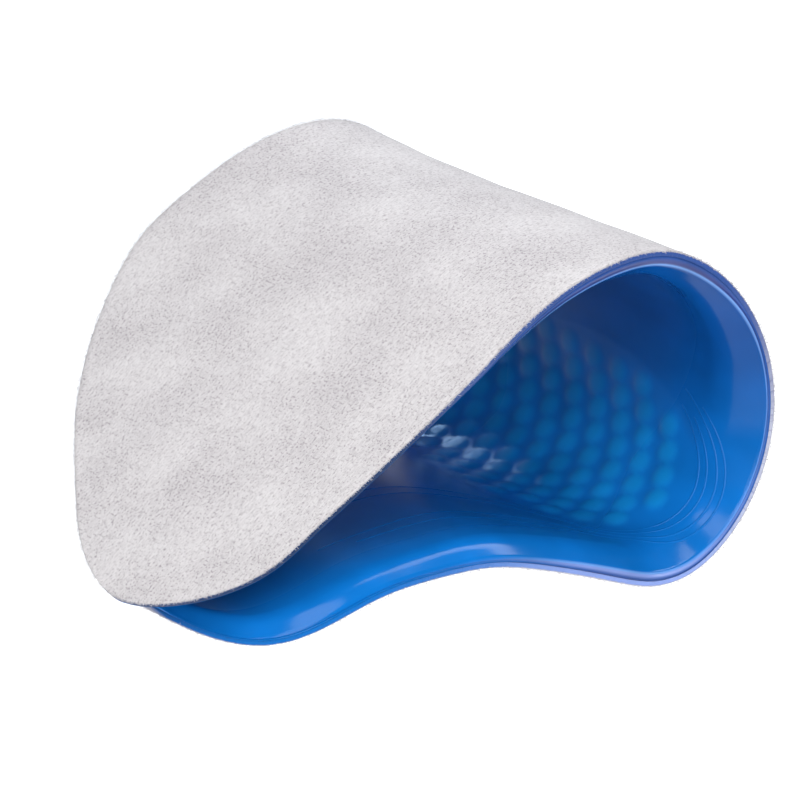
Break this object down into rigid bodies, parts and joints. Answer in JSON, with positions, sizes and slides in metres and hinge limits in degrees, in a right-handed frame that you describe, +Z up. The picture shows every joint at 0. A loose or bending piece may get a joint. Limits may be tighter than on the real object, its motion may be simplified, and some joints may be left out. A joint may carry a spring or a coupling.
{
  "type": "orthopedic insole",
  "caption": "Full-length orthopedic insole folded in half, suede cloth outside and cast blue gel inside, with a dotted cushion field and flow lines.",
  "frame": {"origin": "where toe and heel are pinched together, between the two leaves of the fold", "axes": "+X from the pinch to the loop of the fold, +Y across the sole, +Z up"},
  "size_m": [0.1201, 0.094, 0.0646],
  "materials": {
    "suede_cloth": "napped microfibre suede",
    "blue_gel": "glossy cast gel"
  },
  "bodies": {
    "root": {"fabric_cover": "suede_cloth", "gel_sole": "blue_gel"}
  },
  "joints": []
}
